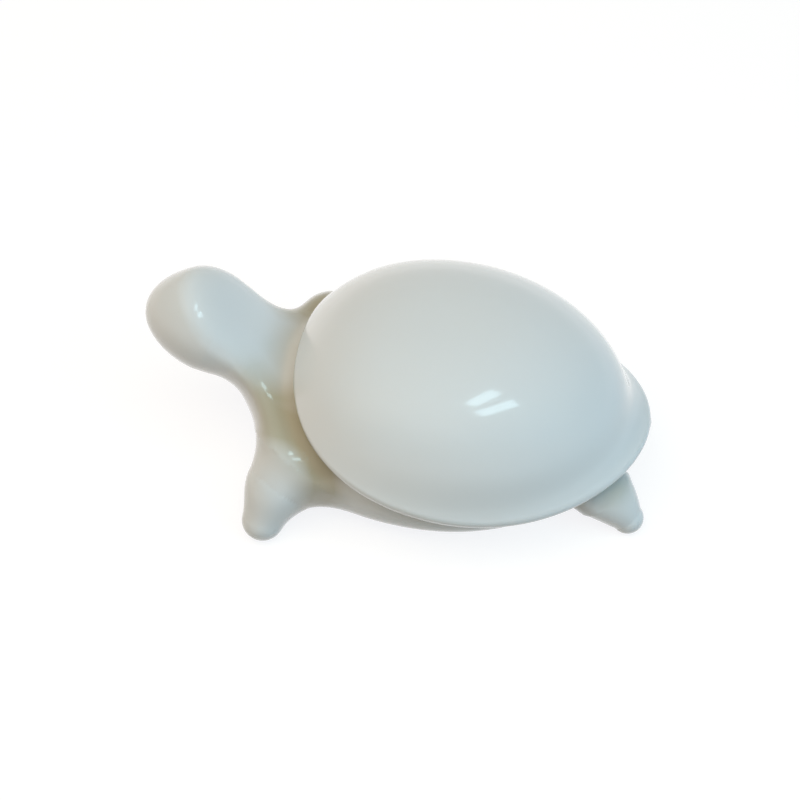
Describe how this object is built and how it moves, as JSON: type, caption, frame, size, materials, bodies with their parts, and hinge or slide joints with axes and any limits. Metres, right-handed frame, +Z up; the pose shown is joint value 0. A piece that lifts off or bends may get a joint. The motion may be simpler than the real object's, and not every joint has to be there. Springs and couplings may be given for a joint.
{
  "type": "turtle figurine",
  "caption": "Plain white glazed ceramic turtle ornament: smooth domed shell with a flared rear lip, raised egg-shaped head without features, and stub legs with flat soles to stand on.",
  "frame": {"origin": "centre of the figure's outline box on the surface that it stands on", "axes": "+X towards the head, +Y to the turtle's left, +Z up"},
  "size_m": [0.2146, 0.1324, 0.0839],
  "materials": {
    "white_glaze": "gloss white glaze, bare biscuit on the ground soles"
  },
  "bodies": {
    "root": {"carapace": "white_glaze", "body": "white_glaze", "head_and_neck": "white_glaze", "front_leg_left": "white_glaze", "front_leg_right": "white_glaze", "rear_leg_left": "white_glaze", "rear_leg_right": "white_glaze"}
  },
  "joints": []
}
